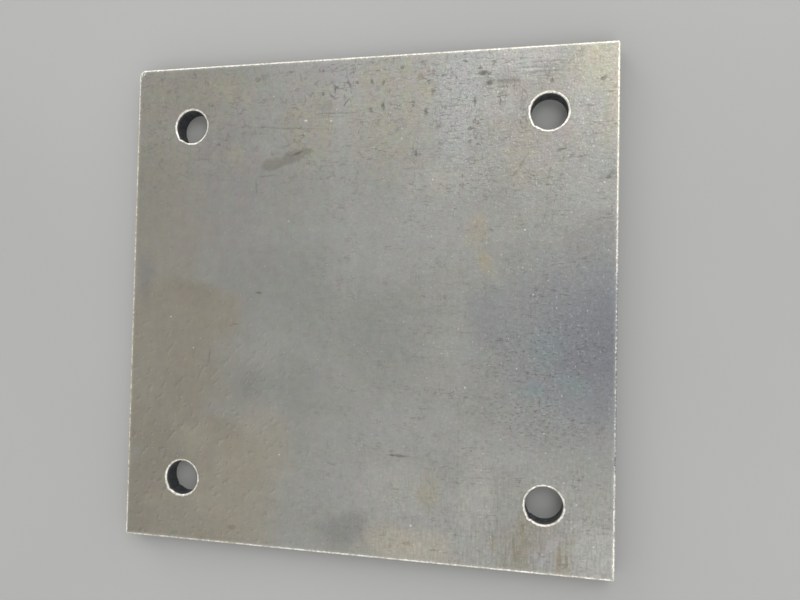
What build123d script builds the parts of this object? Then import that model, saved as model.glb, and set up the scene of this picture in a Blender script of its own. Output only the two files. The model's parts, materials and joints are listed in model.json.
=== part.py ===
from build123d import *
from math import acos, atan2, degrees, hypot
import os

# Steel plate: a square blank, cut by a plasma jet from hot-rolled plate, with four bolt holes.
# Millimetres. The origin is the centre of the underside, X and Y run along the sides, +Z is up.

# Blank
plate_length = 250.0
plate_width = 250.0
plate_thickness = 10.0

# The jet melts the top edges round. The bottom edges stay sharp.
edge_rounding = 0.7

# Corner radius that is left on the flat of the top face, inside the rounded edge
face_corner_radius = 0.2

# Bolt holes, with a medium clearance for M16 bolts
hole_diameter = 17.5
hole_edge_distance = 32.0

# The jet travels counterclockwise round each hole. Before it stops, it leaves the circle
# along a tangent, so each hole has a shallow run-out that ends in a step, the lip.
kerf_width = 2.0
runout_angle = 203.0
runout_length = 2.8
lip_face_radius = 0.1

# The outline cut starts and ends at one corner, and leaves it blunt, with a pit near its edge
start_corner_radius = 3.5
start_pit_radius = 0.45
start_pit_edge_distance = 1.1
start_pit_direction = 135.0

hole_radius = hole_diameter / 2
hole_spacing_x = plate_length - 2 * hole_edge_distance
hole_spacing_y = plate_width - 2 * hole_edge_distance
start_centre_x = start_corner_radius - plate_length / 2
start_centre_y = plate_width / 2 - start_corner_radius


def lip_angle():
    """Angle round the hole where the round end of the run-out meets the circle again."""
    kerf_radius = kerf_width / 2
    path_radius = hole_radius - kerf_radius
    end_distance = hypot(path_radius, runout_length)
    end_angle = runout_angle + degrees(atan2(runout_length, path_radius))
    cosine_rule = hole_radius**2 + end_distance**2 - kerf_radius**2
    return end_angle + degrees(acos(cosine_rule / (2 * hole_radius * end_distance)))


# Outline of the blank, with its start corner at the back left
with BuildSketch() as blank_outline:
    Rectangle(plate_length, plate_width)
    right_corners = blank_outline.vertices().group_by(Axis.X)[-1]
    front_left_corner = blank_outline.vertices().sort_by(Axis((0, 0, 0), (1, 1, 0)))[0]
    fillet(right_corners + [front_left_corner], edge_rounding + face_corner_radius)
    start_corner = blank_outline.vertices().sort_by(Axis((0, 0, 0), (-1, 1, 0)))[-1]
    fillet(start_corner, start_corner_radius)

# Outline of a hole: most of a circle, then the straight run-out and its round end
with BuildSketch() as hole_outline:
    with BuildLine():
        circle = CenterArc((0, 0), hole_radius, lip_angle(), 360 + runout_angle - lip_angle())
        runout = Line(circle @ 1, circle @ 1 + (circle % 1) * runout_length)
        TangentArc(runout @ 1, circle @ 0, tangent=runout % 1)
    make_face()
    lip = hole_outline.vertices().sort_by_distance(circle @ 0)[0]
    fillet(lip, edge_rounding + lip_face_radius)

with BuildPart() as steel_plate:
    with BuildSketch():
        add(blank_outline.sketch)
        with GridLocations(hole_spacing_x, hole_spacing_y, 2, 2):
            add(hole_outline.sketch, mode=Mode.SUBTRACT)
    extrude(amount=plate_thickness)
    top_face = steel_plate.faces().sort_by(Axis.Z)[-1]
    fillet(top_face.edges(), edge_rounding)

    # Pit of the start, in the top face
    pit_distance = start_corner_radius - start_pit_edge_distance
    with Locations((start_centre_x, start_centre_y, plate_thickness)):
        with PolarLocations(pit_distance, 1, start_angle=start_pit_direction):
            Sphere(start_pit_radius, mode=Mode.SUBTRACT)

steel_plate.part.label = "steel_plate"

os.makedirs("parts", exist_ok=True)
export_step(steel_plate.part, "parts/steel_plate.step")
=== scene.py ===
import json
from collections import namedtuple
from math import acos, atan2, ceil, cos, hypot, pi, radians, sin

import bpy
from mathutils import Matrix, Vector, geometry, noise


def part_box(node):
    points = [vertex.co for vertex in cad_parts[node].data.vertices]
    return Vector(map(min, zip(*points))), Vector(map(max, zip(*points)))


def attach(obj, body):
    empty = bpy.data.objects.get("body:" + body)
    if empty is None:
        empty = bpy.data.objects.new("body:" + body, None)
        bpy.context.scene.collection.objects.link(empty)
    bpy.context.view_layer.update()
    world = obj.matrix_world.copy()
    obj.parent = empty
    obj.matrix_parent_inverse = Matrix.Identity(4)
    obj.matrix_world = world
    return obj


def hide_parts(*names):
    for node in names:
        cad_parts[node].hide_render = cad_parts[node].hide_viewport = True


# Steel plate: the cut edges, the cut walls and the mill scale of a square blank with four holes.
# Places and sizes are in millimetres on the plate. The shaders take millimetres too.

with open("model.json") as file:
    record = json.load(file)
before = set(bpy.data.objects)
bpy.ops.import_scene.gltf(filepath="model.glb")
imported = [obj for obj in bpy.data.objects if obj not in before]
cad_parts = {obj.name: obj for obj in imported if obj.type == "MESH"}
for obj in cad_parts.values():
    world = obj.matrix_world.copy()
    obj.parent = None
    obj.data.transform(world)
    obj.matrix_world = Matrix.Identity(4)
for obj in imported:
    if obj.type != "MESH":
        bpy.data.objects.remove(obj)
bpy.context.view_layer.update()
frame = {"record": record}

MM = 0.001
highest_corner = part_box("steel_plate")[1]
half_length = highest_corner.x / MM
half_width = highest_corner.y / MM
thickness = highest_corner.z / MM

mounts = {mount["name"]: mount for mount in frame["record"]["mounts"]}
bolt_pattern = mounts["bolt_holes"]["dims"]
hole_radius = bolt_pattern["hole_r_mm"]
hole_x = bolt_pattern["spacing_x_mm"] / 2
hole_y = bolt_pattern["spacing_y_mm"] / 2

# The cut, with the sizes that the CAD model has
edge_rounding = 0.7
corner_radius = 0.9
start_corner_radius = 3.5
start_pit_radius = 0.45
start_pit_edge_distance = 1.1
start_pit_angle = radians(135)
kerf_radius = 1.0
runout_angle = radians(203)
runout_length = 2.8
lip_radius = 0.8

# Fine shape of the cut: depths and widths, the spacing of what repeats along it, and the step
# between the seeds of two cuts
bottom_edge_rounding = 0.12
flat_margin = 0.35
margin_spacing = 1.5
wall_relief = 0.09
drag_lag = 2.2
drag_curve = 1.7
drag_spacing = 0.9
drag_height = 9
slow_spacing = 6
slow_height = 12
swell_spacing = 4
lump_spacing = 1.1
bead_relief = 0.1
bead_spacing = 0.8
seed_step = 11.3

# Room for the melted edge behind the cut: ample, but inside an arc its radius is the limit
most_room = 5.0
arc_room_share = 0.95
most_rounding_share = 0.92

# How finely the mesh follows the cut, the start pit and the flat faces, and where it creases
outline_step = 0.42
hole_step = 0.3
corner_step = 0.15
rounding_rings = 6
wall_rings = 11
pit_ring_radii = (0.15, 0.28, 0.38, 0.44, 0.47, 0.6)
pit_step = 0.14
pit_surroundings = 3.0
pit_clearance = 0.06
face_grid = 6.0
edge_clearance = 3.0
hole_clearance = 2.0
crease_angle = radians(30)

# One step of the cut: its point, the way out of the metal, the room behind it, the length so far
Sample = namedtuple("Sample", "point out room along")


def srgb(red, green, blue):
    """Colour given as it shows on a screen, 0 to 255, in the linear values that shaders take."""
    linear = [((value / 255 + 0.055) / 1.055) ** 2.4 for value in (red, green, blue)]
    return (*linear, 1.0)


# Path of the cut

def direction(angle):
    return Vector((cos(angle), sin(angle)))


def arc(centre, radius, start, end, out_sign, step):
    """Samples of an arc without its last one. out_sign is 1 where the metal is inside the arc."""
    room = most_room if out_sign < 0 else arc_room_share * radius
    count = ceil(abs(end - start) * radius / step)
    for i in range(count):
        radial = direction(start + (end - start) * i / count)
        yield Sample(centre + radius * radial, out_sign * radial, room, 0.0)


def straight(start, end, out, step):
    """Samples of a straight stretch without its last one."""
    count = ceil((end - start).length / step)
    for i in range(count):
        yield Sample(start.lerp(end, i / count), out, most_room, 0.0)


def measured(samples):
    """Adds to each sample how far along the cut it is."""
    along = 0.0
    done = [samples[0]]
    for before, sample in zip(samples, samples[1:]):
        along += (sample.point - before.point).length
        done.append(sample._replace(along=along))
    return done


def outline_path():
    """Outline of the blank, counterclockwise from its front left corner."""
    signs = ((-1, -1), (1, -1), (1, 1), (-1, 1))
    radii = (corner_radius, corner_radius, corner_radius, start_corner_radius)
    centres = [
        Vector((side_x * (half_length - radius), side_y * (half_width - radius)))
        for (side_x, side_y), radius in zip(signs, radii)
    ]
    samples = []
    for i, (centre, radius) in enumerate(zip(centres, radii)):
        start = pi + i * pi / 2
        samples += arc(centre, radius, start, start + pi / 2, 1, corner_step)
        out = direction(start + pi / 2)
        end = centres[(i + 1) % 4] + radii[(i + 1) % 4] * out
        samples += straight(centre + radius * out, end, out, outline_step)
    return measured(samples)


def hole_path(centre):
    """Edge of a hole, clockwise: the lip, the round end of the run-out, its straight, the circle."""
    leave = direction(runout_angle)
    tangent = direction(runout_angle + pi / 2)
    kerf_centre = leave * (hole_radius - kerf_radius) + tangent * runout_length

    # The lip is an arc that touches the circle of the hole and the round end of the run-out
    to_lip = hole_radius + lip_radius
    kerf_to_lip = kerf_radius + lip_radius
    reach = kerf_centre.length
    spread = acos((reach**2 + to_lip**2 - kerf_to_lip**2) / (2 * reach * to_lip))
    lip_angle = atan2(kerf_centre.y, kerf_centre.x) % (2 * pi) + spread
    lip_centre = to_lip * direction(lip_angle)
    kerf_end = lip_centre - kerf_centre
    kerf_end_angle = atan2(kerf_end.y, kerf_end.x) % (2 * pi)

    samples = list(arc(centre, hole_radius, lip_angle, 2 * pi + runout_angle, -1, hole_step))
    run_start = centre + leave * hole_radius
    samples += straight(run_start, run_start + tangent * runout_length, -leave, hole_step)
    samples += arc(centre + kerf_centre, kerf_radius, runout_angle, kerf_end_angle, -1, corner_step)
    samples += arc(centre + lip_centre, lip_radius, kerf_end_angle + pi, lip_angle + pi, 1, corner_step)
    samples.reverse()
    return measured(samples)


# Shape of the cut edge and wall

def wave(*place):
    """Smooth noise from -1 to 1."""
    return noise.noise(Vector(place))


def lag(height):
    """How far the drag lines trail behind the jet at a height on the wall."""
    depth = (thickness - height) / thickness
    return drag_lag * max(0.0, depth) ** drag_curve


def wall_depth(seed, along, height):
    """How deep the cut wall lies behind its true plane: drag lines and slow waves."""
    trailing = along + lag(height)
    lines = 0.5 + 0.5 * wave(trailing / drag_spacing, height / drag_height, seed)
    slow = 0.5 + 0.5 * wave(trailing / slow_spacing, height / slow_height, seed + 7)
    return wall_relief * (0.6 * lines + 0.4 * slow)


def rounding_at(seed, along):
    """Radius of the melted edge, which swells and shrinks along the cut."""
    swell = 0.1 * wave(along / swell_spacing, 0, seed)
    lump = 0.12 * wave(along / lump_spacing, 3, seed)
    return edge_rounding * (1 + swell + lump)


def bead_depth(seed, along, share):
    """Dips between the small beads on the melted edge."""
    dip = max(0.0, wave(along / bead_spacing, share * 1.5, seed + 3))
    return bead_relief * dip * sin(share * pi)


def profile(sample, seed):
    """Melted edge and wall at one sample, from the top face down, as pairs of inset and height."""
    radius = min(rounding_at(seed, sample.along), most_rounding_share * sample.room)
    margin = flat_margin * (0.8 + 0.9 * wave(sample.along / margin_spacing, 5, seed))
    rows = [(min(radius + margin, sample.room), thickness)]
    for i in range(rounding_rings + 1):
        share = i / rounding_rings
        angle = share * pi / 2
        reach = radius - bead_depth(seed, sample.along, share)
        rows.append((radius - reach * sin(angle), thickness - radius + reach * cos(angle)))
    wall_top = thickness - radius
    for i in range(1, wall_rings + 1):
        share = i / wall_rings
        height = wall_top + (bottom_edge_rounding - wall_top) * share
        fade = min(1.0, 4 * share)
        rows.append((fade * wall_depth(seed, sample.along, height), height))
    rows.append((rows[-1][0] + bottom_edge_rounding, 0.0))
    return rows


# Mesh of the plate

def inside(point, corners):
    """Whether a point lies inside a closed outline."""
    crossings = 0
    for a, b in zip(corners, corners[1:] + corners[:1]):
        if (a.y > point.y) != (b.y > point.y):
            crossings += point.x < a.x + (point.y - a.y) / (b.y - a.y) * (b.x - a.x)
    return crossings % 2 == 1


def face_grid_points(holes):
    """Points spread over a flat face, clear of its edges."""
    columns = int(half_length / face_grid)
    rows = int(half_width / face_grid)
    most_x = half_length - edge_clearance
    most_y = half_width - edge_clearance
    clear = hole_radius + runout_length + hole_clearance
    points = []
    for i in range(-columns, columns + 1):
        for j in range(-rows, rows + 1):
            point = Vector((i, j)) * face_grid
            in_plate = abs(point.x) < most_x and abs(point.y) < most_y
            if in_plate and all((point - hole).length > clear for hole in holes):
                points.append(point)
    return points


def pit_centre():
    reach = start_corner_radius - start_pit_edge_distance
    corner = Vector((start_corner_radius - half_length, half_width - start_corner_radius))
    return corner + reach * direction(start_pit_angle)


def pit_depth(x, y):
    """Depth of the start pit at a place on the top face."""
    distance = hypot(x - pit_centre().x, y - pit_centre().y)
    if distance > start_pit_radius:
        return 0.0
    return (start_pit_radius**2 - distance**2) ** 0.5


def pit_points(boundary):
    """Points that follow the start pit where it reaches the flat of the top face."""
    centre = pit_centre()
    points = [centre]
    for radius in pit_ring_radii:
        count = ceil(2 * pi * radius / pit_step)
        points += [centre + radius * direction(2 * pi * i / count) for i in range(count)]
    near = [corner for corner in boundary if (corner - centre).length < pit_surroundings]
    inner = [point for point in points if inside(point, boundary)]
    return [point for point in inner if min((point - corner).length for corner in near) > pit_clearance]


def fill_flat(loops, extra):
    """Triangles between the outline loop and the hole loops, as indices into loops then extra."""
    coords = [point for loop in loops for point in loop] + extra
    edges = []
    owner = []
    first = 0
    for number, loop in enumerate(loops):
        count = len(loop)
        edges += [(first + i, first + (i + 1) % count) for i in range(count)]
        owner += [number] * count
        first += count
    owner += [-1] * len(extra)
    inside_only = 1
    tolerance = 1e-7
    _, _, faces, originals, _, _ = geometry.delaunay_2d_cdt(coords, edges, [], inside_only, tolerance)
    triangles = []
    for face in faces:
        indices = [originals[i][0] for i in face]
        owners = {owner[i] for i in indices}

        # A triangle with all its corners on the rim of one hole may lie in the hole
        if len(owners) == 1 and owners != {-1} and owners != {0}:
            middle = sum((coords[i] for i in indices), Vector((0, 0))) / 3
            if inside(middle, loops[owners.pop()]):
                continue
        triangles.append(indices)
    return triangles


class Skin:
    """Vertices and faces of the plate's surface, as they are made."""

    # Material slots, in the order in which the piece gets its materials
    rolled, melted, cut = range(3)

    def __init__(self):
        self.verts = []
        self.faces = []
        self.materials = []
        self.cut_uvs = []

    def add_vert(self, x, y, height):
        self.verts.append((x * MM, y * MM, height * MM))
        return len(self.verts) - 1

    def add_face(self, corners, material, uvs):
        self.faces.append(corners)
        self.materials.append(material)
        self.cut_uvs.append(uvs)

    def add_column(self, sample, seed):
        """Adds the vertices of the profile at one sample."""
        column = []
        for inset, height in profile(sample, seed):
            x, y = sample.point - sample.out * inset
            if height > thickness / 2:
                height -= pit_depth(x, y)
            column.append(self.add_vert(x, y, height))
        return column

    def add_cut(self, path, seed):
        """Adds the melted edge and the wall of one cut. Returns its top and bottom rims."""
        columns = [self.add_column(sample, seed) for sample in path]
        closing = (path[0].point - path[-1].point).length
        starts = [sample.along for sample in path]
        ends = starts[1:] + [starts[-1] + closing]
        for i, column in enumerate(columns):
            following = columns[(i + 1) % len(columns)]
            sides = (starts[i], starts[i], ends[i], ends[i])
            for k in range(len(column) - 1):
                quad = (column[k], column[k + 1], following[k + 1], following[k])
                heights = [self.verts[v][2] / MM for v in quad]
                uvs = [(side + lag(height), height) for side, height in zip(sides, heights)]
                self.add_face(quad, self.melted if k <= rounding_rings else self.cut, uvs)
        return [column[0] for column in columns], [column[-1] for column in columns]

    def add_flat(self, rims, height, grid):
        """Adds the top face or the underside between the rims of the outline and the holes."""
        on_top = height > 0
        loops = [[Vector(self.verts[v][:2]) / MM for v in rim] for rim in rims]
        extra = list(grid)
        if on_top:
            extra += pit_points(loops[0])
        flat = [v for rim in rims for v in rim]
        for point in extra:
            depth = pit_depth(*point) if on_top else 0.0
            flat.append(self.add_vert(point.x, point.y, height - depth))
        for triangle in fill_flat(loops, extra):
            corners = [flat[i] for i in triangle]
            self.add_face(corners if on_top else corners[::-1], self.rolled, [(0.0, 0.0)] * 3)


def plate_mesh():
    """One closed mesh: rolled faces, melted edges and cut walls, with the cut's path as its UV map."""
    holes = [Vector((x, y)) for x in (-hole_x, hole_x) for y in (-hole_y, hole_y)]
    paths = [outline_path()] + [hole_path(hole) for hole in holes]
    grid = face_grid_points(holes)
    skin = Skin()
    rims = [skin.add_cut(path, seed_step * number) for number, path in enumerate(paths)]
    skin.add_flat([top for top, bottom in rims], thickness, grid)
    skin.add_flat([bottom for top, bottom in rims], 0.0, grid)

    mesh = bpy.data.meshes.new("steel_plate_surface")
    mesh.from_pydata(skin.verts, [], skin.faces)
    mesh.polygons.foreach_set("use_smooth", [True] * len(skin.faces))
    mesh.polygons.foreach_set("material_index", skin.materials)
    uv_layer = mesh.uv_layers.new(name="cut_path")
    uv_layer.data.foreach_set("uv", [value for face in skin.cut_uvs for pair in face for value in pair])
    mesh.validate()
    mark_bottom_edges(mesh)
    return mesh


def mark_bottom_edges(mesh):
    """Keeps the shading crisp where the wall meets the underside."""
    near_bottom = bottom_edge_rounding * 1.5 * MM
    edge_faces = {}
    for polygon in mesh.polygons:
        for key in polygon.edge_keys:
            edge_faces.setdefault(key, []).append(polygon)
    for edge in mesh.edges:
        a, b = (mesh.vertices[i].co for i in edge.vertices)
        if max(a.z, b.z) < near_bottom:
            pair = edge_faces[edge.key]
            if len(pair) == 2 and pair[0].normal.angle(pair[1].normal) > crease_angle:
                edge.use_edge_sharp = True


# Shader building blocks

class Graph:
    """Node tree of one material. Each call adds a node and returns its output."""

    def __init__(self, name):
        self.material = bpy.data.materials.new(name)
        self.material.use_nodes = True
        self.nodes = self.material.node_tree.nodes
        self.links = self.material.node_tree.links
        self.nodes.clear()
        self.turned_coordinates = {}

    def add(self, kind, inputs, **settings):
        node = self.nodes.new(kind)
        for name, value in settings.items():
            setattr(node, name, value)
        for key, value in inputs.items():
            if isinstance(value, bpy.types.NodeSocket):
                self.links.new(value, node.inputs[key])
            elif value is not None:
                node.inputs[key].default_value = value
        return node

    def math(self, operation, a, b=None):
        return self.add("ShaderNodeMath", {0: a, 1: b}, operation=operation).outputs[0]

    def total(self, *values):
        """Sum of several values."""
        result = values[0]
        for value in values[1:]:
            result = self.math("ADD", result, value)
        return result

    def times(self, *values):
        """Product of several values."""
        result = values[0]
        for value in values[1:]:
            result = self.math("MULTIPLY", result, value)
        return result

    def vector(self, operation, a, b):
        return self.add("ShaderNodeVectorMath", {0: a, 1: b}, operation=operation).outputs["Vector"]

    def scaled(self, vector, factor):
        inputs = {0: vector, "Scale": factor}
        return self.add("ShaderNodeVectorMath", inputs, operation="SCALE").outputs["Vector"]

    def place(self):
        """Place on the plate in millimetres."""
        return self.scaled(self.add("ShaderNodeTexCoord", {}).outputs["Object"], 1 / MM)

    def axis(self, vector, name):
        return self.add("ShaderNodeSeparateXYZ", {0: vector}).outputs[name]

    def stretched(self, vector, x=1.0, y=1.0, turn=0.0):
        """Coordinates in which a pattern comes out longer along X or Y."""
        inputs = {"Vector": vector, "Rotation": (0, 0, radians(turn)), "Scale": (x, y, 1)}
        return self.add("ShaderNodeMapping", inputs, vector_type="TEXTURE").outputs[0]

    def noise(self, vector, size, detail=2.0, roughness=0.5, output="Fac"):
        inputs = {"Vector": vector, "Scale": 1 / size, "Detail": detail, "Roughness": roughness}
        return self.add("ShaderNodeTexNoise", inputs, noise_dimensions="2D").outputs[output]

    def spots(self, vector, x, y, detail=1.0, roughness=0.5):
        """Noise with spots of about x by y millimetres."""
        return self.noise(self.stretched(vector, x, y), 1, detail, roughness)

    def signed(self, value):
        """Moves a value between 0 and 1 to between -0.5 and 0.5."""
        return self.math("SUBTRACT", value, 0.5)

    def ramp(self, value, low, high, bottom=0.0, top=1.0):
        """Smooth step from bottom at low to top at high."""
        inputs = {"Value": value, "From Min": low, "From Max": high, "To Min": bottom, "To Max": top}
        return self.add("ShaderNodeMapRange", inputs, interpolation_type="SMOOTHSTEP").outputs[0]

    def mix(self, factor, a, b):
        """Mix of two colours. Sockets go by number, because every kind of value has its own A and B."""
        return self.add("ShaderNodeMix", {0: factor, 6: a, 7: b}, data_type="RGBA").outputs[2]

    def warped(self, vector, size, amount, detail=3.0):
        """Coordinates shifted by noise, which makes the edge of a blot ragged."""
        shift = self.noise(vector, size, detail, output="Color")
        centred = self.vector("SUBTRACT", shift, (0.5, 0.5, 0.5))
        return self.vector("ADD", vector, self.vector("MULTIPLY", centred, (amount, amount, 0)))

    def turned(self, vector, turn):
        """Coordinates along axes that are turned about Z."""
        if turn == 0:
            return vector
        key = (vector.node.name, turn)
        if key not in self.turned_coordinates:
            self.turned_coordinates[key] = self.stretched(vector, turn=turn)
        return self.turned_coordinates[key]

    def distance(self, vector, blot):
        """Distance from the middle of a blot, 1 at its rim, and far on all of the underside."""
        turn = radians(blot.turn)
        x = blot.x * cos(turn) + blot.y * sin(turn)
        y = blot.y * cos(turn) - blot.x * sin(turn)
        underside_distance = 3
        scale = (1 / blot.reach_x, 1 / blot.reach_y, underside_distance / thickness)
        shift = (-x * scale[0], -y * scale[1], -underside_distance)
        inputs = {0: self.turned(vector, blot.turn), 1: scale, 2: shift}
        local = self.add("ShaderNodeVectorMath", inputs, operation="MULTIPLY_ADD").outputs["Vector"]
        return self.add("ShaderNodeVectorMath", {0: local}, operation="LENGTH").outputs["Value"]

    def nearest(self, vector, blots):
        """Distance from the nearest of several blots."""
        nearest = self.distance(vector, blots[0])
        for blot in blots[1:]:
            nearest = self.math("MINIMUM", nearest, self.distance(vector, blot))
        return nearest

    def blots(self, vector, blots, softness=0.6):
        """Mask of several blots on the top face: 0 outside them, 1 in their middle."""
        return self.ramp(self.nearest(vector, blots), 1.0, 1.0 - softness)

    def rings(self, vector, blots):
        """Mask of thin lines round several blots."""
        from_rim = self.math("ABSOLUTE", self.math("SUBTRACT", self.nearest(vector, blots), 1.0))
        return self.ramp(from_rim, 0.4, 0.0)

    def layered(self, vector, layers, color):
        """Lays tints over a colour. A layer gives its blots, their softness, a strength and a tint."""
        for blots, softness, strength, tint in layers:
            mask = self.times(self.blots(vector, blots, softness), strength)
            color = self.mix(mask, color, tint)
        return color

    def bump(self, height, depth):
        inputs = {"Height": height, "Strength": 1.0, "Distance": depth * MM}
        return self.add("ShaderNodeBump", inputs).outputs[0]

    def surface(self, **inputs):
        """Finishes the material with its shader. Names are the shader's sockets, with _ for a space."""
        named = {name.replace("_", " "): value for name, value in inputs.items()}
        shader = self.add("ShaderNodeBsdfPrincipled", named)
        self.add("ShaderNodeOutputMaterial", {"Surface": shader.outputs[0]})
        return self.material


# Places of the tones, stains and marks that the photograph shows on the top face. A blot is an
# ellipse: its middle, how far it reaches along X and along Y, and its turn in degrees.

Blot = namedtuple("Blot", "x y reach_x reach_y turn", defaults=(0,))

pale_back = (Blot(12, 116, 82, 66),)
pale_middle = (
    Blot(24, 36, 62, 40),
    Blot(14, -94, 60, 28),
    Blot(26, -60, 54, 24),
    Blot(70, -68, 34, 16),
)
mauve_patches = (Blot(-78, 58, 46, 62), Blot(112, 33, 22, 15), Blot(-60, 18, 32, 18))
greenish_patches = (
    Blot(-30, 8, 34, 56, 20),
    Blot(12, -14, 40, 38),
    Blot(-58, 4, 38, 36),
    Blot(-32, -40, 28, 24),
)
pale_streak = (Blot(50, 104, 12, 44),)
pinkish_patch = (Blot(88, 88, 32, 38),)
brown_side = (
    Blot(-96, -6, 42, 22),
    Blot(-122, -42, 54, 50),
    Blot(-84, -86, 50, 32),
    Blot(-98, -112, 58, 40),
)
brown_shore = (
    Blot(-96, -34, 58, 44),
    Blot(-108, 108, 54, 30),
    Blot(-112, 74, 26, 20),
    Blot(-122, 44, 56, 84),
    Blot(-104, 20, 28, 26),
)
light_brown = (Blot(-62, -98, 34, 44), Blot(-50, -76, 26, 32), Blot(-84, -72, 16, 14))
pale_patches = (
    Blot(110, 96, 16, 26),
    Blot(42, 62, 32, 16),
    Blot(68, 99, 12, 12),
    Blot(20, -90, 26, 22),
    Blot(60, -90, 13, 27),
)
pale_brink = (Blot(77, 120, 30, 11),)
olive_patch = (Blot(90, -112, 20, 18),)
bluish_zone = (Blot(120, -18, 78, 71), Blot(80, -6, 34, 30))
bluish_core = (Blot(120, -18, 46, 50),)
teal_patches = (
    Blot(93, -20, 15, 13, 20),
    Blot(89, -41, 15, 8),
    Blot(106, -36, 12, 8),
)
dull_patches = (
    Blot(-117, 12, 8, 18),
    Blot(-17, 100.5, 8, 5),
    Blot(122, 58, 5, 6),
)
front_smudge = (Blot(-4.5, -113, 15, 10), Blot(1, -109, 10, 8))
dull_side = (Blot(-122, 60, 30, 44),)
dull_spot = (Blot(-56, -43, 17, 16),)
pale_yellow = (Blot(27, -118, 34, 15), Blot(125, 98, 12, 30))
ochre_tints = (
    Blot(15, 98, 27, 44),
    Blot(-26, 94, 20, 30),
    Blot(-70, 113, 20, 10),
    Blot(-66, 77, 8, 6),
    Blot(80, 72, 9, 22, -8),
    Blot(60, 36, 10, 15),
    Blot(64, 21, 7, 10),
    Blot(34, 106, 9, 9),
    Blot(39, -92, 9, 14),
)
ochre_spots = (Blot(60, 37, 5, 9), Blot(63.5, 22, 4, 7), Blot(37, -92, 4, 9))
rusty_tints = (
    Blot(80, -116, 14, 18),
    Blot(88, -105, 14, 10),
    Blot(103, -116, 8, 13),
)
lavender_patches = (
    Blot(-33, 103, 11, 9),
    Blot(-20, 117, 16, 7),
    Blot(95, -112, 7, 14),
)
corner_tint = (Blot(118, 119, 27, 27),)
pale_front = (Blot(118, -112, 26, 22),)
smear = (
    Blot(-46, 71.5, 9, 4.0, 8),
    Blot(-36, 75, 9, 4.2, 22),
    Blot(-29, 77.5, 6, 2.2, 6),
    Blot(74, 108.3, 8, 1.4),
)
deep_marks = (Blot(61.6, 113, 4.6, 1.6), Blot(64.4, 108.2, 2.8, 2.1, 20))
dark_marks = (
    Blot(60, 115.5, 1.6, 1.0),
    Blot(57.6, 99.4, 1.0, 3.0),
    Blot(57, 89.4, 1.0, 1.8),
    Blot(94, 107.6, 1.3, 1.3),
    Blot(117.6, 107.6, 2.0, 1.6, 20),
    Blot(-13.5, 109.4, 0.9, 3.2),
    Blot(-5.9, 111, 0.9, 3.0, 20),
    Blot(-2.2, 111.7, 1.6, 1.0, -40),
    Blot(5.9, 111.7, 1.2, 1.6),
    Blot(11.8, 111.1, 1.0, 2.0),
    Blot(11.8, 98.8, 1.0, 2.2),
    Blot(21.2, 118.2, 1.4, 1.5),
    Blot(28.8, 74.7, 1.2, 2.2),
    Blot(33.5, 95.8, 1.2, 2.6),
    Blot(-20, 107, 1.2, 1.2),
    Blot(-15, 105.5, 0.8, 2.4, 40),
    Blot(-7.6, 101.7, 0.7, 3.0, -40),
    Blot(-33, 76.8, 4.5, 1.0, 20),
    Blot(-52.5, 4.8, 2.6, 1.0),
    Blot(99, 74.5, 3.0, 1.0, 20),
    Blot(120, 61, 1.8, 1.2),
    Blot(22.8, -74.3, 7, 0.9),
)
faint_lines = (
    Blot(-12, 96.8, 18, 0.6),
    Blot(-38, 90, 32, 0.6, -4),
    Blot(48, 97.8, 8, 0.7),
    Blot(26, 67.3, 4.5, 0.8),
    Blot(71, 109.2, 7, 0.8),
    Blot(92, 117, 14, 0.7),
    Blot(86, 114.6, 16, 0.8),
    Blot(84, 112, 8, 0.7, 4),
    Blot(108, 71, 7, 0.7, 10),
    Blot(93.5, 63.5, 0.9, 5, -10),
    Blot(-49, 65.4, 8, 0.6, 4),
    Blot(-10.7, -80.5, 3.5, 0.7, -10),
    Blot(-55, 60, 0.8, 6, 4),
    Blot(-79, -29, 0.9, 5, -10),
    Blot(-66, -12, 6, 0.7, 10),
)
reddish_marks = (
    Blot(30.6, 112.9, 2.2, 2.4, -20),
    Blot(36.5, 105.3, 1.8, 2.2),
    Blot(37, 114.6, 1.4, 2.6),
    Blot(80.6, 68, 1.0, 3.6, -20),
    Blot(77, 63.4, 1.0, 3.0, -40),
    Blot(103.6, -116.5, 0.9, 4.0),
    Blot(-63.6, -116.2, 3.2, 2.0),
    Blot(27.7, -116.3, 3.5, 1.4),
)
speckled_places = (
    Blot(100, -22, 48, 40),
    Blot(88, -50, 40, 20),
    Blot(50, 102, 16, 34),
    Blot(58, 62, 20, 17),
)
ring_marks = (Blot(71, 101, 1.5, 2.8), Blot(81, 101, 1.2, 2.4), Blot(81, 88, 1.6, 2.8))
rippled_places = (Blot(90, 113, 24, 7), Blot(62, 112, 10, 9))
start_spatter = (Blot(-122.9, 122.9, 2.9, 1.6, 40),)
bright_flecks = (
    Blot(-46.8, 107, 0.5, 0.5),
    Blot(-28.8, 93.5, 1.6, 0.8),
    Blot(-15.3, 92.9, 0.8, 0.8),
    Blot(82.4, 36.5, 0.7, 0.7),
    Blot(30, -107.6, 0.9, 0.8),
    Blot(86.7, 5.7, 0.5, 0.5),
    Blot(-37, 41.8, 0.5, 0.5),
    Blot(-102, -8.5, 0.7, 0.6),
    Blot(-88.3, -24.6, 0.6, 0.5),
    Blot(-38.8, -77.6, 0.6, 0.6),
    Blot(55.2, -39.6, 0.7, 0.7),
    Blot(102, -81.8, 0.5, 0.5),
    Blot(107.6, -91.4, 0.5, 0.5),
    Blot(115.5, -110.1, 0.5, 0.5),
)


# Mill scale

# What several parts of the mill scale share. The masks right, left, front and backmost rise from
# 0 to 1 towards that side of the plate.
Face = namedtuple(
    "Face",
    "place nearby x y right left front backmost coarse fine patchy streaks specks speckled",
)


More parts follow.
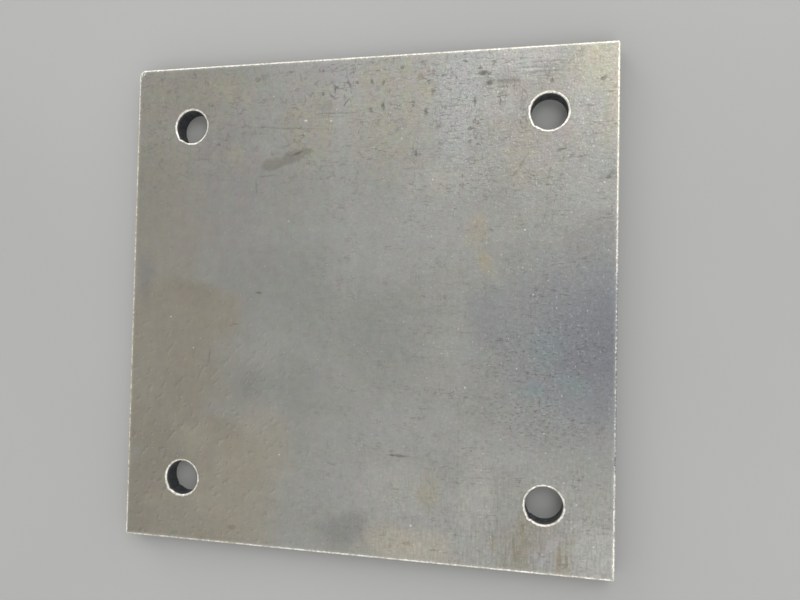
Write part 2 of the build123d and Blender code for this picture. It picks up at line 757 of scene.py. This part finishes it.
def shared_patterns(graph):
    """Coordinates, masks and noises that several parts of the mill scale use."""
    place = graph.place()
    nearby = graph.warped(place, 3, 1.6, 2)
    x = graph.axis(place, "X")
    y = graph.axis(place, "Y")
    right = graph.ramp(x, -70, 100)
    left = graph.ramp(x, 10, -70)
    back = graph.ramp(y, 35, 100)
    front = graph.ramp(y, -50, -115)
    backmost = graph.times(back, graph.ramp(x, 60, 95, 1.0, 0.3))
    coarse = graph.total(graph.times(right, 0.65), graph.times(back, 0.5), graph.times(front, 0.18), 0.28)
    fine = graph.signed(graph.noise(place, 1.0, 1))
    patchy = graph.noise(place, 5, 3, 0.6)
    streaks = graph.signed(graph.spots(place, 2.5, 45, 2))
    specks = graph.spots(nearby, 1.9, 0.9)
    densely = graph.times(graph.blots(place, speckled_places, 0.9), 0.6)
    speckled = graph.total(densely, graph.times(right, 0.1))
    return Face(
        place, nearby, x, y, right, left, front, backmost, coarse,
        fine, patchy, streaks, specks, speckled,
    )


def scale_relief(graph, face):
    """Grain, coarser towards the right and the back, and ripples at the back."""
    grain = graph.signed(graph.spots(face.place, 2.8, 1.9, 2, 0.6))
    ripples = graph.signed(graph.spots(face.place, 16, 1.2))
    rippled = graph.blots(face.place, rippled_places, 0.8)
    return graph.total(
        graph.times(face.fine, face.coarse, 0.2),
        graph.times(grain, face.coarse, 0.3),
        graph.times(ripples, rippled, 0.5),
    )


def painted_dent_shading(graph, place):
    """Painted light and shade of shallow dents: 1 on their lit side, -1 on their dark side."""
    slanting = graph.stretched(place, 5.5, 3.2, 50)
    beside = graph.vector("ADD", slanting, (0, 0.3, 0))
    lit = graph.ramp(graph.noise(beside, 1, 3, 0.6), 0.58, 0.7)
    dark = graph.ramp(graph.noise(slanting, 1, 3, 0.6), 0.58, 0.7)
    return graph.math("SUBTRACT", lit, dark)


def scale_tone_and_dent_shading(graph, face, relief):
    """Lighter and darker spots: the relief, painted shading of dents at the front left, streaks and
    upright strokes.
    """
    upright = graph.signed(graph.spots(face.place, 1.0, 6, 2, 0.6))
    stroked = graph.total(graph.times(face.front, face.right, 0.48), 0.045)
    dented = graph.times(face.left, graph.ramp(face.y, 20, -60, 0.3, 1.0))
    return graph.total(
        relief,
        # Painted light and shade stand in for the dents, which the bump does not carry
        graph.times(painted_dent_shading(graph, face.nearby), dented, 0.15),
        graph.times(face.streaks, 0.04),
        graph.times(graph.signed(face.patchy), 0.15),
        graph.times(upright, stroked),
    )


def dashes(graph, face):
    """Short dark dashes, in clusters of rows and columns, where rollers and water left marks."""
    rows = graph.ramp(graph.spots(face.place, 40, 5), 0.42, 0.58)
    columns = graph.ramp(graph.spots(face.place, 6, 30), 0.42, 0.58)
    across = graph.ramp(graph.spots(face.nearby, 3.6, 0.9), 0.55, 0.72)
    upright = graph.ramp(graph.spots(face.nearby, 0.9, 3), 0.57, 0.72)
    clusters = graph.ramp(graph.noise(face.place, 13, 2), 0.4, 0.62, 0.3, 1.0)
    dashed = graph.total(graph.times(across, rows), graph.times(upright, columns, 0.8))
    elsewhere = graph.ramp(face.x, -70, 0, 0.08, 0.18)
    strength = graph.total(graph.times(face.backmost, 0.3), graph.times(face.right, 0.24), elsewhere)
    return graph.times(dashed, clusters, strength)


def curls(graph, face):
    """Thin, broken dark curls, mostly at the back."""
    from_line = graph.math("ABSOLUTE", graph.signed(graph.noise(face.place, 8, 1)))
    broken = graph.ramp(graph.noise(face.place, 6, 1), 0.48, 0.6)
    strength = graph.total(graph.times(face.backmost, 0.34), graph.times(face.right, 0.06))
    return graph.times(graph.ramp(from_line, 0.034, 0.0), broken, strength)


def dark_spots(graph, face):
    """Mask of all that is dark on the scale: dashes, curls, specks, and marks in their own places."""
    dark = graph.total(
        dashes(graph, face),
        curls(graph, face),
        graph.times(graph.ramp(face.specks, 0.63, 0.74), face.speckled),
        graph.times(graph.blots(face.nearby, dark_marks, 0.6), 0.6),
        graph.times(graph.blots(face.nearby, deep_marks, 0.8), 0.9),
        graph.times(graph.blots(face.nearby, faint_lines, 0.8), 0.35),
        graph.times(graph.rings(face.nearby, ring_marks), 0.35),
    )
    return graph.math("MINIMUM", dark, 0.9)


def specks_and_painted_glints(graph, face):
    """Mask of all that is bright on the scale: specks, flecks, spatter and the rim, and painted
    highlights, the sparkle at the right and the glints.
    """
    # Painted highlights: sparkle towards the right and the back, and glints, put into the colour
    painted_sparkle = graph.times(graph.ramp(face.patchy, 0.46, 0.64), face.right)
    painted_sparkle = graph.times(painted_sparkle, graph.ramp(face.y, -20, 70, 0.15, 0.34))
    glints = graph.noise(face.place, 1.0, 0)
    gathered = graph.ramp(graph.noise(face.place, 9, 1), 0.48, 0.64)
    drops = graph.ramp(graph.noise(face.place, 0.6, 0), 0.46, 0.56, 0.0, 0.75)
    off_middle = graph.math("MAXIMUM", graph.math("ABSOLUTE", face.x), graph.math("ABSOLUTE", face.y))
    bright = graph.total(
        graph.times(graph.ramp(face.fine, 0.17, 0.3), painted_sparkle),
        graph.times(graph.ramp(face.specks, 0.34, 0.24), face.speckled, 0.17),
        graph.times(graph.blots(face.place, bright_flecks, 1.0), 0.6),
        graph.times(graph.ramp(glints, 0.8, 0.9), graph.ramp(face.x, -20, 80, 0, 0.2), gathered),
        graph.times(graph.ramp(glints, 0.955, 0.985), 0.6),
        graph.times(graph.blots(face.nearby, start_spatter, 0.5), drops),
        graph.ramp(off_middle, half_length - 2.4, half_length - 0.6, 0, 0.1),
    )
    return graph.math("MINIMUM", bright, 0.9)


def scale_tones(graph, face):
    """Broad tones: grey, with a brown side, a bluish side and ochre tints towards the back."""
    soft = graph.warped(face.place, 18, 16, 3)
    drift = graph.noise(face.place, 45, 3)
    grey = graph.mix(graph.ramp(drift, 0.3, 0.7), srgb(136, 136, 130), srgb(142, 142, 137))
    brown = graph.mix(graph.ramp(drift, 0.35, 0.65), srgb(128, 123, 111), srgb(134, 129, 117))
    in_patches = graph.times(graph.ramp(face.patchy, 0.36, 0.62, 0.4, 1.0), 0.65)
    strokes = graph.ramp(graph.spots(face.place, 1.4, 22, 2), 0.48, 0.66, 0, 0.55)
    in_strokes = graph.total(graph.ramp(face.streaks, -0.16, 0.14, 0.1, 0.45), strokes)
    layers = (
        (pale_back, 0.8, 0.9, srgb(150, 150, 146)),
        (pale_middle, 0.8, 0.75, srgb(144, 144, 141)),
        (mauve_patches, 0.7, 0.85, srgb(132, 130, 126)),
        (greenish_patches, 0.9, 0.8, srgb(131, 132, 127)),
        (pinkish_patch, 0.6, 0.7, srgb(143, 139, 133)),
        (pale_patches, 0.8, 0.9, srgb(149, 148, 142)),
        (pale_brink, 0.7, 0.9, srgb(155, 154, 150)),
        (olive_patch, 0.8, 0.85, srgb(130, 128, 120)),
        (pale_streak, 0.5, 0.65, srgb(152, 153, 151)),
        (brown_shore, 0.7, 0.85, srgb(133, 130, 120)),
        (brown_side, 0.4, 0.95, brown),
        (light_brown, 0.7, 0.7, srgb(143, 138, 125)),
        (bluish_zone, 0.6, 0.9, srgb(127, 129, 129)),
        (bluish_core, 0.9, 0.9, srgb(112, 114, 119)),
        (teal_patches, 1.0, 0.5, srgb(117, 131, 131)),
        (dull_patches, 0.8, 0.5, srgb(115, 114, 112)),
        (dull_side, 1.0, 0.6, srgb(126, 124, 115)),
        (pale_front, 0.8, 0.8, srgb(150, 150, 145)),
        (lavender_patches, 0.6, 0.7, srgb(144, 142, 142)),
        (pale_yellow, 0.8, 0.9, srgb(158, 153, 140)),
        (corner_tint, 1.0, 0.8, srgb(162, 158, 141)),
        (ochre_tints, 0.6, in_patches, srgb(144, 140, 125)),
        (rusty_tints, 0.7, in_strokes, srgb(126, 119, 102)),
    )
    return graph.layered(soft, layers, grey)


def stained(graph, face, color):
    """Adds the stains that have a clearer edge than the broad tones."""
    mottled = graph.ramp(face.patchy, 0.35, 0.62, 0.25, 0.8)
    layers = (
        (smear, 0.5, 0.5, srgb(104, 101, 90)),
        (front_smudge, 0.6, 0.4, srgb(110, 109, 107)),
        (dull_spot, 1.0, mottled, srgb(118, 120, 116)),
        (ochre_spots, 0.7, mottled, srgb(146, 140, 122)),
    )
    return graph.layered(face.nearby, layers, color)


def tinged(graph, face, color):
    """Turns the colour a little from spot to spot, more so towards the back."""
    tinge = graph.noise(graph.stretched(face.place, 6, 9), 1, 1, output="Color")
    tinge = graph.vector("SUBTRACT", tinge, (0.5, 0.5, 0.5))
    tinge = graph.scaled(tinge, graph.ramp(face.y, 10, 90, 0.07, 0.12))
    return graph.vector("MULTIPLY", color, graph.vector("ADD", tinge, (1, 1, 1)))


def mill_scale():
    """Rolled face: grey, mottled and marked scale, with painted dent shading and painted highlights."""
    dark_tone = srgb(90, 86, 79)
    reddish_tone = srgb(110, 95, 82)
    speck_and_glint_tone = srgb(228, 228, 224)
    graph = Graph("mill_scale")
    face = shared_patterns(graph)
    relief = scale_relief(graph, face)
    tone_and_dent_shading = scale_tone_and_dent_shading(graph, face, relief)
    dark = dark_spots(graph, face)
    color = stained(graph, face, scale_tones(graph, face))
    # The painted dent shading lightens and darkens the colour here, along with the scale's own tones
    color = graph.scaled(tinged(graph, face, color), graph.math("ADD", tone_and_dent_shading, 1.0))
    color = graph.mix(dark, color, dark_tone)
    color = graph.layered(face.nearby, [(reddish_marks, 0.6, 0.4, reddish_tone)], color)
    # Bright specks and painted highlights, the sparkle and glints, go into the base colour here
    color = graph.mix(specks_and_painted_glints(graph, face), color, speck_and_glint_tone)
    return graph.surface(
        Base_Color=color,
        Metallic=0.5,
        Roughness=graph.ramp(face.patchy, 0.3, 0.7, 0.41, 0.46),
        Normal=graph.bump(relief, 0.25),
    )


# The cut: bright melted edge and dark wall

rim_reach = 3
left_side = (Blot(-half_length, 0, rim_reach, 128),)
right_side = (Blot(half_length, 0, rim_reach, 128),)
dull_right = (Blot(half_length, -24, rim_reach, 48), Blot(half_length, -71, rim_reach, 6))
right_back = (Blot(half_length, 86, rim_reach, 52), Blot(100, half_width, 36, rim_reach))
duller_front_stretches = (
    Blot(-92, -half_width, 42, rim_reach),
    Blot(54, -half_width, 24, rim_reach),
    Blot(110, -half_width, 18, rim_reach),
)


def melted_edge():
    """Bright beaded edge, duller along stretches of its sides and a little darker towards the front."""
    graph = Graph("melted_edge")
    place = graph.place()
    tone = graph.noise(place, 3.5, 3, 0.7)
    color = graph.mix(graph.ramp(tone, 0.3, 0.7), srgb(228, 223, 211), srgb(240, 237, 228))
    beads = graph.noise(place, 1.2, 1)
    dull = graph.ramp(beads, 0.66, 0.54, 0.3, 1.0)
    layers = (
        (left_side, 0.3, graph.times(dull, 0.75), srgb(210, 198, 175)),
        (right_side, 0.3, graph.times(dull, 0.8), srgb(206, 204, 198)),
        (dull_right, 0.3, graph.times(dull, 0.9), srgb(156, 158, 160)),
        (right_back, 0.3, graph.times(dull, 0.8), srgb(226, 220, 204)),
        (duller_front_stretches, 0.3, graph.times(dull, 0.7), srgb(212, 206, 192)),
    )
    color = graph.layered(place, layers, color)
    duller = graph.ramp(graph.axis(place, "Y"), -120, 120, 0.78, 0.86)
    color = graph.scaled(color, graph.ramp(tone, 0.36, 0.56, duller, 1.0))
    color = graph.scaled(color, graph.ramp(beads, 0.36, 0.56, 0.78, 1.0))
    roughness = graph.ramp(tone, 0.3, 0.7, 0.55, 0.42)
    return graph.surface(Base_Color=color, Metallic=1.0, Roughness=roughness)


def cut_wall():
    """Burnt blue-grey wall with drag lines, paler under the melted edge, with specks of rust."""
    graph = Graph("cut_wall")
    cut = graph.add("ShaderNodeUVMap", {}, uv_map="cut_path").outputs[0]
    height = graph.axis(cut, "Y")
    lines = graph.spots(cut, 0.5, 7, 3, 0.6)
    bands = graph.spots(cut, 4, 12, 2)
    burnt = graph.noise(cut, 3, 3)
    color = graph.mix(graph.ramp(lines, 0.34, 0.68), srgb(50, 54, 58), srgb(86, 90, 93))
    color = graph.mix(graph.times(graph.ramp(bands, 0.4, 0.65), 0.5), color, srgb(74, 80, 88))
    color = graph.mix(graph.times(graph.ramp(height, 7.4, 9.2), 0.6), color, srgb(134, 133, 131))
    low = graph.ramp(height, 3.5, 0.2, 0.25, 1.0)
    rust = graph.times(graph.ramp(burnt, 0.52, 0.7), low, 0.55)
    color = graph.mix(rust, color, srgb(108, 86, 66))
    return graph.surface(
        Base_Color=color,
        Metallic=0.6,
        Roughness=graph.ramp(burnt, 0.3, 0.7, 0.36, 0.56),
        Normal=graph.bump(lines, 0.08),
    )


def floor_finish():
    """Plain pale floor."""
    graph = Graph("floor_finish")
    place = graph.place()
    tone = graph.noise(place, 400, 3)
    base = graph.mix(graph.ramp(tone, 0.3, 0.7), srgb(158, 158, 156), srgb(163, 163, 161))
    return graph.surface(Base_Color=base, Roughness=0.8)


# Scene

def add_plate():
    piece = bpy.data.objects.new("steel_plate_surface", plate_mesh())
    bpy.context.scene.collection.objects.link(piece)
    for material in (mill_scale(), melted_edge(), cut_wall()):
        piece.data.materials.append(material)
    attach(piece, "root")
    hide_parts("steel_plate")


def add_floor():
    """Floor, 60 m across, so that it reaches the horizon."""
    bpy.ops.mesh.primitive_plane_add(size=60)
    floor = bpy.context.object
    floor.name = "floor"
    floor.data.materials.append(floor_finish())


def add_camera():
    """Camera at the place and angle that the photograph was taken from."""
    camera = bpy.data.objects.new("camera", bpy.data.cameras.new("camera"))
    camera.data.sensor_width = 36
    camera.data.lens = 28.6
    camera.data.clip_start = 0.01
    camera.location = Vector((85.8, -5.9, 317.0)) * MM
    camera.rotation_euler = [radians(angle) for angle in (1.714, 11.635, 1.196)]
    bpy.context.scene.collection.objects.link(camera)
    bpy.context.scene.camera = camera


def add_softbox(name, place, size, power):
    """Square area light that faces the plate. Its place and size are in metres, its power in watts."""
    light = bpy.data.lights.new(name, "AREA")
    light.size = size
    light.energy = power
    softbox = bpy.data.objects.new(name, light)
    softbox.location = place
    softbox.rotation_euler = (-Vector(place)).to_track_quat("-Z", "Y").to_euler()
    bpy.context.scene.collection.objects.link(softbox)


def add_light():
    """Pale surroundings, brighter near the horizon, and soft light from the back and the front."""
    world = bpy.data.worlds.new("studio")
    world.use_nodes = True
    nodes = world.node_tree.nodes
    links = world.node_tree.links
    direction_node = nodes.new("ShaderNodeTexCoord")
    height = nodes.new("ShaderNodeSeparateXYZ")
    horizon_strength = 1.4
    high_strength = 0.72
    high_from = 0.8
    strength = nodes.new("ShaderNodeMapRange")
    strength.inputs["From Max"].default_value = high_from
    strength.inputs["To Min"].default_value = horizon_strength
    strength.inputs["To Max"].default_value = high_strength
    links.new(direction_node.outputs["Generated"], height.inputs[0])
    links.new(height.outputs["Z"], strength.inputs["Value"])
    links.new(strength.outputs[0], nodes["Background"].inputs["Strength"])
    nodes["Background"].inputs["Color"].default_value = (1, 1, 1, 1)
    bpy.context.scene.world = world
    bpy.context.scene.view_settings.view_transform = "Standard"
    add_softbox("back_softbox", (0.45, 0.9, 1.3), 1.1, 10)
    add_softbox("front_softbox", (0.35, -0.8, 1.2), 0.7, 3)
    add_softbox("low_softbox", (-2.7, 3.3, 1.35), 1.5, 36)


add_camera()
add_light()
add_floor()
add_plate()
